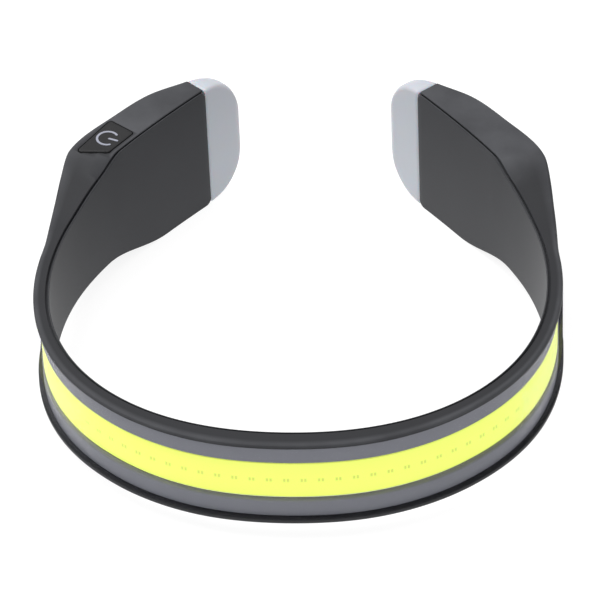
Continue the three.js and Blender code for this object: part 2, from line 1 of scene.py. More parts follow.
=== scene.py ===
"""Wide-beam band headlamp: its looks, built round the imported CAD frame.

Metres, +Z up; the light faces -Y. The band has coordinates of its own: s runs along the inner line
from the middle of the forehead towards a tip, t runs outwards from the inner face, and z is height
above the band's middle line.
"""

import math

import bmesh
import bpy
import numpy as np
from mathutils import Matrix, Vector


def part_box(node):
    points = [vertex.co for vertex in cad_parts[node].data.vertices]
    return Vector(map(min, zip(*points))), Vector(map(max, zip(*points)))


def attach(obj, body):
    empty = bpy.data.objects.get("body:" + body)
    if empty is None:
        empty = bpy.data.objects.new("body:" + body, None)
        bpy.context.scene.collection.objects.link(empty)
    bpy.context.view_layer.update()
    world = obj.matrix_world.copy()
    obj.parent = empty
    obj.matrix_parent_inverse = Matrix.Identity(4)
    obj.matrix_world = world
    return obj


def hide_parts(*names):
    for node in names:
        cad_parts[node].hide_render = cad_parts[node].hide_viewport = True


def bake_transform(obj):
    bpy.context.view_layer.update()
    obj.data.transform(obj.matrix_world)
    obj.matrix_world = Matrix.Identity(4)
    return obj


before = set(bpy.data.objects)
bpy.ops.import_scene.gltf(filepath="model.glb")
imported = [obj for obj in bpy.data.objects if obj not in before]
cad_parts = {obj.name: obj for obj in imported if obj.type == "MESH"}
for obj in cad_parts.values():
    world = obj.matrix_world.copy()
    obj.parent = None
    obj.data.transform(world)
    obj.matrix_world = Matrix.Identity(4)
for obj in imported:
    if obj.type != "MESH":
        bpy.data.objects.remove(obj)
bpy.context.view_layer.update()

MM = 0.001

# ---- Camera --------------------------------------------------------------------------------------
# A long lens looks down at the lamp from in front, a little to one side and a little rolled.
# It is placed from the middle of the inner face at the forehead, which lies low in the picture.

VIEW_DOWN = math.radians(40.71)
VIEW_SIDE = math.radians(-4.74)
VIEW_ROLL = math.radians(-2.48)
VIEW_DISTANCE = 1.5515
FOREHEAD_RIGHT = -0.0026  # slope from the line of sight to the forehead
FOREHEAD_UP = -0.0340
LENS_LENGTH = 300.0
SENSOR = 36.0

LENS_RISE = 0.8 * MM  # the lens stands this proud of the upper lip, flush with the lower one
BAND_DEPTH = 6.6 * MM
low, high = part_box("front_frame")
BAND_MIDDLE = (low.z + high.z) / 2
LINE_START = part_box("light_lens")[0].y + BAND_DEPTH + LENS_RISE
forehead = Vector((0, LINE_START, BAND_MIDDLE))

forward = Vector(
    (
        math.sin(VIEW_SIDE) * math.cos(VIEW_DOWN),
        math.cos(VIEW_SIDE) * math.cos(VIEW_DOWN),
        -math.sin(VIEW_DOWN),
    )
)
level = Vector((math.cos(VIEW_SIDE), -math.sin(VIEW_SIDE), 0))
lift = level.cross(forward)
right = math.cos(VIEW_ROLL) * level + math.sin(VIEW_ROLL) * lift
up = math.cos(VIEW_ROLL) * lift - math.sin(VIEW_ROLL) * level
eye = forehead - VIEW_DISTANCE * (forward + FOREHEAD_RIGHT * right + FOREHEAD_UP * up)

camera_data = bpy.data.cameras.new("camera")
camera_data.lens = LENS_LENGTH
camera_data.sensor_width = SENSOR
camera_data.clip_end = 20
camera = bpy.data.objects.new("camera", camera_data)
bpy.context.scene.collection.objects.link(camera)
turn = Matrix((right, up, -forward)).transposed()
camera.matrix_world = Matrix.Translation(eye) @ turn.to_4x4()
bpy.context.scene.camera = camera

# ---- Floor and light -----------------------------------------------------------------------------
# A pale matte light table in a white studio that is bright overhead and dimmer towards the walls.
# One large softbox hangs overhead, and a weak one stands low in front.

FLOOR_SIZE = 6.0
FLOOR_COLOUR = (0.22, 0.22, 0.22, 1)
FLOOR_GLOW = 0.86
OVERHEAD_LIGHT = 1.0
WALL_LIGHT = 0.3
SOFTBOXES = (
    # name, place, aim, size, power
    ("softbox_above", (-0.6, 0.25, 1.35), (0, 0, 0), 1.5, 22),
    ("softbox_front", (0.25, -1.5, 0.9), (0, 0, 0.02), 1.0, 3),
)


def link(name, mesh):
    """A new object for a mesh, in the scene."""
    thing = bpy.data.objects.new(name, mesh)
    bpy.context.scene.collection.objects.link(thing)
    return thing


def add_nodes(tree, **kinds):
    """Adds nodes to a tree by short name and type, and returns them as a dict."""
    return {name: tree.nodes.new(kind) for name, kind in kinds.items()}


floor_mesh = bpy.data.meshes.new("floor")
half = FLOOR_SIZE / 2
floor_corners = [(-half, -half, 0), (half, -half, 0), (half, half, 0), (-half, half, 0)]
floor_mesh.from_pydata(floor_corners, [], [(0, 1, 2, 3)])
floor = link("floor", floor_mesh)
floor_material = bpy.data.materials.new("floor")
floor_material.use_nodes = True
shader = floor_material.node_tree.nodes["Principled BSDF"]
shader.inputs["Base Color"].default_value = FLOOR_COLOUR
shader.inputs["Roughness"].default_value = 0.9
shader.inputs["Specular IOR Level"].default_value = 0.1
shader.inputs["Emission Color"].default_value = (1, 1, 1, 1)
shader.inputs["Emission Strength"].default_value = FLOOR_GLOW
floor_mesh.materials.append(floor_material)

world = bpy.data.worlds.new("studio")
world.use_nodes = True
background = world.node_tree.nodes["Background"]
background.inputs["Color"].default_value = (1, 1, 1, 1)
n = add_nodes(
    world.node_tree,
    way="ShaderNodeTexCoord",
    parts="ShaderNodeSeparateXYZ",
    height="ShaderNodeMapRange",
)
n["height"].inputs["To Min"].default_value = WALL_LIGHT
n["height"].inputs["To Max"].default_value = OVERHEAD_LIGHT
wire = world.node_tree.links.new
wire(n["way"].outputs["Generated"], n["parts"].inputs["Vector"])
wire(n["parts"].outputs["Z"], n["height"].inputs["Value"])
wire(n["height"].outputs["Result"], background.inputs["Strength"])
bpy.context.scene.world = world
for name, place, aim, size, power in SOFTBOXES:
    light = bpy.data.lights.new(name, "AREA")
    light.shape = "SQUARE"
    light.size = size
    light.energy = power
    box = link(name, light)
    sight = (Vector(aim) - Vector(place)).normalized()
    turned = sight.to_track_quat("-Z", "Y").to_matrix()
    box.matrix_world = Matrix.Translation(place) @ turned.to_4x4()
bpy.context.scene.view_settings.view_transform = "Standard"

# ---- Outer skin ----------------------------------------------------------------------------------
# The band's channel-shaped frame and both pod shells look like one flexible moulding with a
# soft-touch coat. It is drawn in two halves that meet at the forehead, one round each temple.

HEAD_WIDTH = 158.6 * MM
BEND_AT = np.array([0, 45, 88, 120, 150, 185, 235]) * MM
BEND_RADIUS = np.array([133, 71, 62, 86, 82, 290, 5000]) * MM
LINE_DRAWN = 234 * MM
LINE_STEP = 0.5 * MM
ARM_LENGTH = 106 * MM
NECK_LENGTH = 5.5 * MM
TIP_LENGTH = 16 * MM
STRIP_SHORT = 5 * MM
BAND_HALF = 16 * MM
POD_ABOVE = 25.3 * MM
POD_BELOW = BAND_MIDDLE
FRONT_AT = np.array([0, 43, 66, 83, 105, 128]) * MM  # ahead of the flex line
FRONT_DEPTH = np.array([5.2, 5.2, 5.3, 5.8, 6.5, 6.6]) * MM
POD_AT = np.array([0, 10, 24, 43, 62, 77, 90, 106]) * MM
POD_DEPTH = np.array([5.2, 5.6, 9, 15.2, 14.7, 13.5, 9.1, 4.2]) * MM
TOP_AT = np.array([5, 15, 23, 30.6, 38.6, 43, 45.1]) * MM  # back from the flex line
TOP_SHARE = np.array([0, 0.05, 0.13, 0.355, 0.645, 0.91, 1])
STEP_DOWN = (37.1 * MM, 61.1 * MM)
LINER = 1.6 * MM
SLIP = 0.2 * MM
GAP = 0.3 * MM
SEAT = 3 * MM
RISE_FADES = 60 * MM  # the lens stands less proud over this length before each end
RISE_LOST = 0.75
LIP = 1.5 * MM
FLOOR_LEAST = 0.6 * MM
WALL = 1.8 * MM
HOLLOW_START = 25 * MM
EDGE = 1.1 * MM
OVERHANG = (0.75 * MM, 1.25 * MM)  # inner edge of the skin's lip, in front and at the pods
OVERHANG_FROM = 40 * MM
OVERHANG_TO = 110 * MM
OVERHANG_THICK = 0.7 * MM
OVERHANG_RIM = 0.2 * MM
CHANNEL_EASE = 0.15 * MM  # chamfer at the mouth of the channel
STEP = 0.02 * MM  # two rings this close together make a step
LENS_CORNER = 3.5 * MM
BUTTON_FRONT = 44.9 * MM  # back from the flex line
BUTTON_BACK = 59.2 * MM
BUTTON_INNER = 3 * MM
BUTTON_OUTER = (12.2 * MM, 13.3 * MM)
BUTTON_CORNER = 1.1 * MM
FLAP_ALONG = 73 * MM
BOARD_ALONG = 64 * MM
FLAP_OUT = 8.1 * MM
FLAP_SIZE = (13 * MM, 6.2 * MM)
FLAP_THICKNESS = 0.9 * MM
SOCKET_MOUTH = (8.9 * MM, 3.2 * MM)
CRISP = math.radians(38)  # edges sharper than this stay crisp
SIDES = ((-1, "left", "left_arm"), (1, "right", "right_arm"))


def draw_line():
    """The inner line: its bend, one over the radius, runs straight between rows. Heading is the
    running sum of bend, and place is the running sum of heading, scaled to the clear width."""
    middles = np.arange(LINE_STEP / 2, LINE_DRAWN, LINE_STEP)
    turns = LINE_STEP * np.interp(middles, BEND_AT, 1 / BEND_RADIUS)
    heading = np.concatenate([[0], np.cumsum(turns)])
    between = heading[:-1] + turns / 2
    x = np.concatenate([[0], np.cumsum(np.cos(between))]) * LINE_STEP
    y = np.concatenate([[0], np.cumsum(np.sin(between))]) * LINE_STEP
    scale = HEAD_WIDTH / 2 / x.max()
    return np.arange(len(x)) * LINE_STEP * scale, x * scale, y * scale, heading


LINE_S, LINE_X, LINE_Y, LINE_HEADING = draw_line()
TIP_AT = LINE_S[-1]
FLEX_AT = TIP_AT - ARM_LENGTH
LENS_END = FLEX_AT - NECK_LENGTH
STRIP_END = LENS_END - STRIP_SHORT
SEAM_AT = TIP_AT - TIP_LENGTH


def at(s, t, z, side=1):
    """Points at s along, t outwards and z up, as an array with x, y, z last. Negative s is on the
    -X side."""
    s, t, z = np.broadcast_arrays(s, t, z)
    along = np.abs(s)
    heading = np.interp(along, LINE_S, LINE_HEADING)
    x = np.interp(along, LINE_S, LINE_X) + t * np.sin(heading)
    y = np.interp(along, LINE_S, LINE_Y) - t * np.cos(heading)
    return np.stack([np.where(s < 0, -x, x) * side, y + LINE_START, z + BAND_MIDDLE], -1)


def back(s, t):
    """Distance back from the start of the inner line."""
    return at(s, t, 0.0)[..., 1] - LINE_START


def smooth(x, start, stop):
    """0 before start, 1 after stop, and three u squared less two u cubed between."""
    u = np.clip((x - start) / (stop - start), 0, 1)
    return u * u * (3 - 2 * u)


def through(rows, values, x):
    """A cubic through the rows of a table, its slope at each row that of its two neighbours."""
    slope = np.gradient(values, rows)
    slope[1:-1] = (values[2:] - values[:-2]) / (rows[2:] - rows[:-2])
    i = np.clip(np.searchsorted(rows, x, side="right") - 1, 0, len(rows) - 2)
    width = rows[i + 1] - rows[i]
    u = np.clip((x - rows[i]) / width, 0, 1)
    rise = (values[i + 1] - values[i]) * u * u * (3 - 2 * u)
    return values[i] + rise + width * u * (1 - u) * (slope[i] * (1 - u) - slope[i + 1] * u)


FLEX_BACK = back(FLEX_AT, 0.0)


def top_at(y):
    """Height of the top edge: level, then a rise that steepens up to the pod's front corner."""
    return BAND_HALF + (POD_ABOVE - BAND_HALF) * through(TOP_AT, TOP_SHARE, y - FLEX_BACK)


def bottom_at(y):
    """Height of the bottom edge: level, then one smooth step down."""
    return -BAND_HALF - (POD_BELOW - BAND_HALF) * smooth(y - FLEX_BACK, *STEP_DOWN)


def depth_at(s):
    """Depth of the band from its inner face to its outer face."""
    behind = np.abs(s) - FLEX_AT
    in_front = through(FRONT_AT, FRONT_DEPTH, -behind)
    return np.where(behind > 0, through(POD_AT, POD_DEPTH, behind), in_front)


def crown_at(s):
    """Front of the lens, which stands proud of the upper lip, and less so towards its ends."""
    faded = smooth(np.abs(s), LENS_END - RISE_FADES, LENS_END)
    return depth_at(s) + LENS_RISE * (1 - RISE_LOST * faded)


def seat_at(s):
    """Floor of the channel behind the light strip."""
    return np.maximum(depth_at(s) - SEAT, LINER + SLIP + FLOOR_LEAST)


def corner_drop(s, end, radius):
    """How far an edge comes in near a rounded end: a quarter circle over the last radius."""
    u = np.clip((np.abs(s) - (end - radius)) / radius, 0, 1)
    return radius * (1 - np.sqrt(1 - u * u))


def spread(start, stop, step):
    """Evenly spaced distances, about a step apart."""
    return np.linspace(start, stop, max(int(round((stop - start) / step)), 1) + 1)


def round_in(end, radius, count):
    """Distances along a rounded end, evenly spaced round its quarter circle."""
    return end - radius * (1 - np.sin(np.linspace(0, math.pi / 2, count)))


def closed_mesh(name, points, faces):
    """A mesh for a closed shape, with its faces turned outwards."""
    mesh = bpy.data.meshes.new(name)
    mesh.from_pydata(points.reshape(-1, 3).tolist(), [], faces)
    shape = bmesh.new()
    shape.from_mesh(mesh)
    if shape.calc_volume(signed=True) < 0:
        bmesh.ops.reverse_faces(shape, faces=shape.faces)
    shape.to_mesh(mesh)
    shape.free()
    return mesh


def ring_quads(count, size, bands):
    """Quads between neighbouring rings. As many bands as rings joins the last ring to the first."""
    i, j = np.meshgrid(np.arange(bands), np.arange(size), indexing="ij")
    here = i * size
    ahead = (i + 1) % count * size
    after = (j + 1) % size
    quads = np.stack([here + j, here + after, ahead + after, ahead + j], -1)
    return quads.reshape(-1, 4).tolist()


def carry(name, rings, wear_and_light=None):
    """A closed skin over rings of points, with a flat end on each. The last argument is 0 to 1 for
    each point of a ring, and marks where the lighter edge colour goes: on rounded edges it is
    rubbing and painted highlight, and on the outer skin's pod tops it is painted light from
    overhead."""
    count, size, _ = rings.shape
    last = (count - 1) * size
    ends = [list(range(size))[::-1], list(range(last, last + size))]
    mesh = closed_mesh(name, rings, ring_quads(count, size, count - 1) + ends)
    if wear_and_light is not None:
        marks = mesh.attributes.new("edge", "FLOAT", "POINT")
        values = np.broadcast_to(wear_and_light, (count, size)).ravel()
        marks.data.foreach_set("value", values.astype(np.float32))
    return soften(link(name, mesh))


def soften(piece):
    """Smooth shading, with sharp edges kept crisp."""
    mesh = piece.data
    mesh.polygons.foreach_set("use_smooth", np.ones(len(mesh.polygons), bool))
    mesh.set_sharp_from_angle(angle=CRISP)
    return piece


def quarter(steps):
    """Sines and cosines over a quarter turn."""
    angle = np.linspace(0, math.pi / 2, steps + 1)
    return np.sin(angle), np.cos(angle)


def inset(corners, distance):
    """Corners of a convex outline moved in by a distance: each edge slides along its normal."""
    corners = np.asarray(corners, float)
    after = np.roll(corners, -1, 0)
    ahead = after - corners
    ahead /= np.linalg.norm(ahead, axis=1, keepdims=True)
    area = np.sum(corners[:, 0] * after[:, 1] - after[:, 0] * corners[:, 1])
    normal = np.sign(area) * np.stack([-ahead[:, 1], ahead[:, 0]], -1)
    before_normal = np.roll(normal, 1, 0)
    middle = normal + before_normal
    return corners + distance * middle / (1 + np.sum(normal * before_normal, 1))[:, None]


def rounded(corners, radius, steps=8):
    """An outline with each corner replaced by an arc that touches both its edges."""
    corners = np.asarray(corners, float)
    to_next = np.roll(corners, -1, 0) - corners
    to_next /= np.linalg.norm(to_next, axis=1, keepdims=True)
    to_last = -np.roll(to_next, 1, 0)
    half_angle = np.arccos(np.clip(np.sum(to_next * to_last, 1), -1, 1)) / 2
    reach = radius / np.tan(half_angle)
    middle = to_next + to_last
    middle /= np.linalg.norm(middle, axis=1, keepdims=True)
    centre = corners + middle * (radius / np.sin(half_angle))[:, None]
    start = corners + to_last * reach[:, None] - centre
    stop = corners + to_next * reach[:, None] - centre
    sweep = (math.pi - 2 * half_angle)[:, None, None]
    u = np.linspace(0, 1, steps + 1)[None, :, None] * sweep
    arc = (np.sin(sweep - u) * start[:, None] + np.sin(u) * stop[:, None]) / np.sin(sweep)
    return (centre[:, None] + arc).reshape(-1, 2)


def flat(outline, z):
    """An outline laid flat at a height."""
    return np.column_stack([outline, np.full(len(outline), z)])


def slab(name, outline, low, high):
    """A straight-sided slab with a flat outline, used to cut an opening."""
    return carry(name, np.stack([flat(outline, z) for z in (low, high)]))


def cut(piece, *cutters):
    """Cuts slabs out of a piece, and puts the result in its mesh."""
    for cutter in cutters:
        change = piece.modifiers.new("cut", "BOOLEAN")
        change.operation = "DIFFERENCE"
        change.solver = "EXACT"
        change.object = cutter
    view = bpy.context.evaluated_depsgraph_get()
    piece.data = bpy.data.meshes.new_from_object(piece.evaluated_get(view))
    piece.modifiers.clear()
    for cutter in cutters:
        bpy.data.objects.remove(cutter)
    return soften(piece)


def finish_group():
    """Moulded or cut surface. Slow mottling shifts the colour, and a fine grain shifts the
    roughness and stands up as a bump. Marked places take the lighter edge colour where mottling is
    high: rubbing with painted highlight on rounded edges, and painted light on the pods' top faces."""
    tree = bpy.data.node_groups.new("surface_finish", "ShaderNodeTree")
    ports = (
        ("Vector", "NodeSocketVector", None),
        ("Colour", "NodeSocketColor", (0.5, 0.5, 0.5, 1)),
        ("Shade", "NodeSocketColor", (0.4, 0.4, 0.4, 1)),
        ("Edge Colour", "NodeSocketColor", (0.6, 0.6, 0.6, 1)),
        ("Edge", "NodeSocketFloat", 0),
        ("Roughness", "NodeSocketFloat", 0.5),
        ("Roughness Spread", "NodeSocketFloat", 0.1),
        ("Mottle Scale", "NodeSocketFloat", 60),
        ("Grain Scale", "NodeSocketFloat", 3000),
        ("Grain Height", "NodeSocketFloat", 0.00002),
    )
    for name, kind, value in ports:
        port = tree.interface.new_socket(name, in_out="INPUT", socket_type=kind)
        if value is not None:
            port.default_value = value
    results = (
        ("Colour", "NodeSocketColor"),
        ("Roughness", "NodeSocketFloat"),
        ("Normal", "NodeSocketVector"),
    )
    for name, kind in results:
        tree.interface.new_socket(name, in_out="OUTPUT", socket_type=kind)
    n = add_nodes(
        tree,
        take="NodeGroupInput",
        give="NodeGroupOutput",
        mottle="ShaderNodeTexNoise",
        grain="ShaderNodeTexNoise",
        body="ShaderNodeMix",
        worn="ShaderNodeMix",
        patchy="ShaderNodeMath",
        centre="ShaderNodeMath",
        rough="ShaderNodeMath",
        bump="ShaderNodeBump",
    )
    wire = tree.links.new
    take = n["take"].outputs
    for key, scale, detail in (("mottle", "Mottle Scale", 4), ("grain", "Grain Scale", 2)):
        n[key].inputs["Detail"].default_value = detail
        wire(take["Vector"], n[key].inputs["Vector"])
        wire(take[scale], n[key].inputs["Scale"])
    for key in ("body", "worn"):
        n[key].data_type = "RGBA"
    wire(n["mottle"].outputs["Fac"], n["body"].inputs["Factor"])
    wire(take["Shade"], n["body"].inputs[6])
    wire(take["Colour"], n["body"].inputs[7])
    # The mark times the mottling mixes in the lighter edge colour: rubbing with painted highlight
    # on rounded edges, painted light on the pods' top faces.
    n["patchy"].operation = "MULTIPLY"
    wire(take["Edge"], n["patchy"].inputs[0])
    wire(n["mottle"].outputs["Fac"], n["patchy"].inputs[1])
    wire(n["patchy"].outputs[0], n["worn"].inputs["Factor"])
    wire(n["body"].outputs[2], n["worn"].inputs[6])
    wire(take["Edge Colour"], n["worn"].inputs[7])
    wire(n["worn"].outputs[2], n["give"].inputs["Colour"])
    n["centre"].operation = "SUBTRACT"
    wire(n["grain"].outputs["Fac"], n["centre"].inputs[0])
    n["centre"].inputs[1].default_value = 0.5
    n["rough"].operation = "MULTIPLY_ADD"
    wire(n["centre"].outputs[0], n["rough"].inputs[0])
    wire(take["Roughness Spread"], n["rough"].inputs[1])
    wire(take["Roughness"], n["rough"].inputs[2])
    wire(n["rough"].outputs[0], n["give"].inputs["Roughness"])
    n["bump"].inputs["Strength"].default_value = 0.6
    wire(n["grain"].outputs["Fac"], n["bump"].inputs["Height"])
    wire(take["Grain Height"], n["bump"].inputs["Distance"])
    wire(n["bump"].outputs["Normal"], n["give"].inputs["Normal"])
    return tree


FINISH = finish_group()


def material(
    name,
    colour,
    shade,
    edge=None,
    roughness=0.5,
    spread_by=0.12,
    mottle=60,
    grain=3000,
    height=0.02,
    stretch=(1, 1, 1),
    **plain,
):
    """A Principled surface fed by the finish group. height is in millimetres, stretch scales the
    pattern along x, y and z, and plain holds constant values for the shader's own sockets."""
    made = bpy.data.materials.new(name)
    made.use_nodes = True
    tree = made.node_tree
    shader = tree.nodes["Principled BSDF"]
    n = add_nodes(
        tree,
        place="ShaderNodeTexCoord",
        finish="ShaderNodeGroup",
        mark="ShaderNodeAttribute",
        turn="ShaderNodeMapping",
    )
    n["finish"].node_tree = FINISH
    n["mark"].attribute_name = "edge"
    n["turn"].inputs["Scale"].default_value = stretch
    values = {
        "Colour": (*colour, 1),
        "Shade": (*shade, 1),
        "Edge Colour": (*(edge or colour), 1),
        "Roughness": roughness,
        "Roughness Spread": spread_by,
        "Mottle Scale": mottle,
        "Grain Scale": grain,
        "Grain Height": height * MM,
    }
    for key, value in values.items():
        n["finish"].inputs[key].default_value = value
    wire = tree.links.new
    wire(n["place"].outputs["Object"], n["turn"].inputs["Vector"])
    wire(n["turn"].outputs["Vector"], n["finish"].inputs["Vector"])
    wire(n["mark"].outputs["Fac"], n["finish"].inputs["Edge"])
    wire(n["finish"].outputs["Colour"], shader.inputs["Base Color"])
    wire(n["finish"].outputs["Roughness"], shader.inputs["Roughness"])
    wire(n["finish"].outputs["Normal"], shader.inputs["Normal"])
    for key, value in plain.items():
        shader.inputs[key.replace("_", " ")].default_value = value
    return made


CHANNEL_END = LENS_END + GAP
HOLLOW_FROM = FLEX_AT + HOLLOW_START


def skin_places():
    """Where the skin's rings stand: close together round the channel's corners, and in pairs at the
    steps of the channel and the hollow."""
    places = [
        [0, 0.3 * MM],
        spread(1.2 * MM, CHANNEL_END - LENS_CORNER, 1.5 * MM),
        round_in(CHANNEL_END, LENS_CORNER, 8)[:-1],
        [CHANNEL_END - STEP, CHANNEL_END + STEP],
        spread(CHANNEL_END + 1 * MM, HOLLOW_FROM - 1 * MM, 1.2 * MM),
        [HOLLOW_FROM - STEP, HOLLOW_FROM + STEP],
        spread(HOLLOW_FROM + 1 * MM, SEAM_AT, 1.2 * MM),
    ]
    return np.unique(np.concatenate(places))[:, None]


def across(s, outer, width, drop):
    """Distances outwards along the top or the bottom, and how far each lies below the edge line:
    the lip over the inner layer, then the flat, then the quarter-ellipse edge."""
    lip = OVERHANG[0] + (OVERHANG[1] - OVERHANG[0]) * smooth(s, OVERHANG_FROM, OVERHANG_TO)
    start = lip + OVERHANG_RIM
    flat = start + (outer - width - start) * np.array([0.33, 0.67])
    sine, cosine = quarter(6)
    inner = np.full(s.shape, LINER + SLIP)
    out = [inner, lip, lip, start, flat, outer - width + width * sine]
    under = np.full(s.shape, OVERHANG_THICK)
    rim = np.full(s.shape, OVERHANG_RIM)
    fall = [under, under, rim, np.zeros((len(s), 3)), drop * (1 - cosine)]
    return np.concatenate(out, 1), np.concatenate(fall, 1)


def channel_section(s, depth, sill):
    """The channel: full depth under the lens, and level with the outer face elsewhere."""
    inside = s < CHANNEL_END
    lip = BAND_HALF - LIP
    half = np.where(inside, lip - corner_drop(s, CHANNEL_END, LENS_CORNER), lip - LENS_CORNER)
    floor_t = np.where(inside, seat_at(s), depth)
    ease = np.where(inside, CHANNEL_EASE, 0)
    t = [depth, depth - ease, floor_t, floor_t, sill - ease, sill]
    z = [half + CHANNEL_EASE, half, half, -half, -half, -half - CHANNEL_EASE]
    return np.concatenate(t, 1), np.concatenate(z, 1)


def hollow_section(s, depth):
    """The hollow: walls of one thickness in the pod, and the plain back face elsewhere."""
    inside = s > HOLLOW_FROM
    inner = np.full(s.shape, LINER + SLIP)
    y = back(s, inner)
    high = top_at(y)
    low = bottom_at(y)
    far = np.where(inside, depth - WALL, inner)
    y_far = back(s, far)
    z = [
        low + WALL,
        np.where(inside, bottom_at(y_far) + WALL, low / 3),
        np.where(inside, top_at(y_far) - WALL, high / 3),
        high - WALL,
    ]
    return np.concatenate([inner, far, far, inner], 1), np.concatenate(z, 1)


def outer_rings(side):
    """Rings of the outer skin. Each goes out along the top, over a quarter-ellipse edge, down the
    outer face and through the channel, back along the bottom, and round the hollow in the pod."""
    s = skin_places()
    depth = depth_at(s)
    width = np.minimum(EDGE, (depth - LINER) / 3)
    drop = width * (0.5 + 0.5 * smooth(s, FLEX_AT - 10 * MM, FLEX_AT + 15 * MM))
    in_front = 1 - smooth(s, LENS_END, FLEX_AT)
    sill = depth + (crown_at(s) - depth) * in_front
    t_top, fall = across(s, depth, width, drop)
    top = top_at(back(s, t_top)) - fall
    t_bottom, fall = across(s, sill, width * (1 - in_front / 2), drop * (1 - in_front / 2))
    bottom = bottom_at(back(s, t_bottom)) + fall
    t_channel, z_channel = channel_section(s, depth, sill)
    t_hollow, z_hollow = hollow_section(s, depth)
    t = np.concatenate([t_top, t_channel, t_bottom[:, ::-1], t_hollow], 1)
    z = np.concatenate([top, z_channel, bottom[:, ::-1], z_hollow], 1)
    tops = t_top.shape[1]
    # Edge marks: 0.7 on the rounded edges, for rubbing and painted highlight, and full over the
    # pods' top faces, which the lighter edge colour paints as lit from overhead.
    edge = np.zeros(t.shape)
    edge[:, 6:tops] = edge[:, tops + 6 : 2 * tops] = 0.7
    on_pod = smooth(s, FLEX_AT + 34 * MM, FLEX_AT + 46 * MM)
    edge[:, 2:tops] = np.maximum(edge[:, 2:tops], on_pod)
    return at(s, t, z, side), edge


def button_corners(margin=0.0):
    """The button's four corners in plan, let out by a margin but then clear of the outer wall. The
    front edge is square to the head's middle line, and the other edges follow the arm."""
    rear = FLEX_AT + BUTTON_BACK + margin
    inner = BUTTON_INNER - margin
    reach = np.linspace(FLEX_AT, rear, 400)
    front = FLEX_BACK + BUTTON_FRONT - margin
    outer = np.array(BUTTON_OUTER) - (WALL / 2 if margin else 0)
    starts = [np.interp(front, back(reach, np.full(400, t)), reach) for t in (inner, outer[0])]
    s = np.array([starts[0], rear, rear, starts[1]])
    t = np.array([inner, inner, outer[1], outer[0]])
    return at(s, t, 0.0, -1)[:, :2]


def flap_outline(length, width, radius):
    """A rounded rectangle over the charging socket, in line with the arm."""
    corners = np.array([[1, 1], [-1, 1], [-1, -1], [1, -1]])
    along, out = (corners * np.array([length / 2, width / 2])).T
    heading = np.interp(FLEX_AT + BOARD_ALONG, LINE_S, LINE_HEADING)
    middle = at(FLEX_AT + BOARD_ALONG, FLAP_OUT, 0.0)
    along = along + FLAP_ALONG - BOARD_ALONG
    x = middle[0] + along * math.cos(heading) + out * math.sin(heading)
    y = middle[1] + along * math.sin(heading) - out * math.cos(heading)
    return rounded(np.stack([-x, y], -1), radius)


POD_TOP = BAND_MIDDLE + POD_ABOVE
# The lighter edge colour is rubbing with painted highlight on the rounded edges, and painted light
# from overhead on the pods' top faces.
soft_touch = material(
    "soft_touch_coat",
    (0.0215, 0.022, 0.025),
    (0.018, 0.0185, 0.021),
    edge=(0.082, 0.084, 0.092),
    roughness=0.55,
    grain=5200,
    height=0.012,
    Specular_IOR_Level=0.18,
    Sheen_Weight=0.03,
    Sheen_Roughness=0.5,
)
FLAP_CORNER = 2 * MM
SOCKET_CORNER = 1.1 * MM


def skin_openings():
    """Slabs that open the control pod for the button, the flap and the charging socket."""
    key = rounded(inset(button_corners(), -GAP), BUTTON_CORNER + GAP)
    seat = flap_outline(FLAP_SIZE[0] + 2 * GAP, FLAP_SIZE[1] + 2 * GAP, FLAP_CORNER + GAP)
    mouth = flap_outline(SOCKET_MOUTH[0] + 2 * GAP, SOCKET_MOUTH[1] + 2 * GAP, SOCKET_CORNER + GAP)
    return (
        slab("button_opening", key, POD_TOP - 5 * MM, POD_TOP + 2 * MM),
        slab("flap_seat", seat, -2 * MM, FLAP_THICKNESS + GAP),
        slab("socket_mouth", mouth, -2 * MM, 4 * MM),
    )


for side, name, body in SIDES:
    shell = f"{name}_pod_shell"
    rings, edge = outer_rings(side)
    skin = carry(f"{name}_outer_skin", rings, edge)
    if side < 0:
        cut(skin, *skin_openings())
    skin.data.materials.append(soft_touch)
    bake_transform(skin)
    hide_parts("front_frame", shell)

# ---- Inner layer ---------------------------------------------------------------------------------
# A soft layer lines the band against the head and goes on as the pods' covers. It is pressed into
# the frame with a fine shadow groove along both edges, and hollowed behind for spring and leads.

LINER_ROUND = 0.35 * MM
LINER_LIP = 0.42 * MM  # the shadow groove begins this far out
GROOVE = 1.3 * MM  # its depth
RECESS = 0.8 * MM
RECESS_FROM = -7 * MM
RECESS_TO = 11 * MM
RECESS_TAIL = 28 * MM
COVER_CORNER = 2.2 * MM


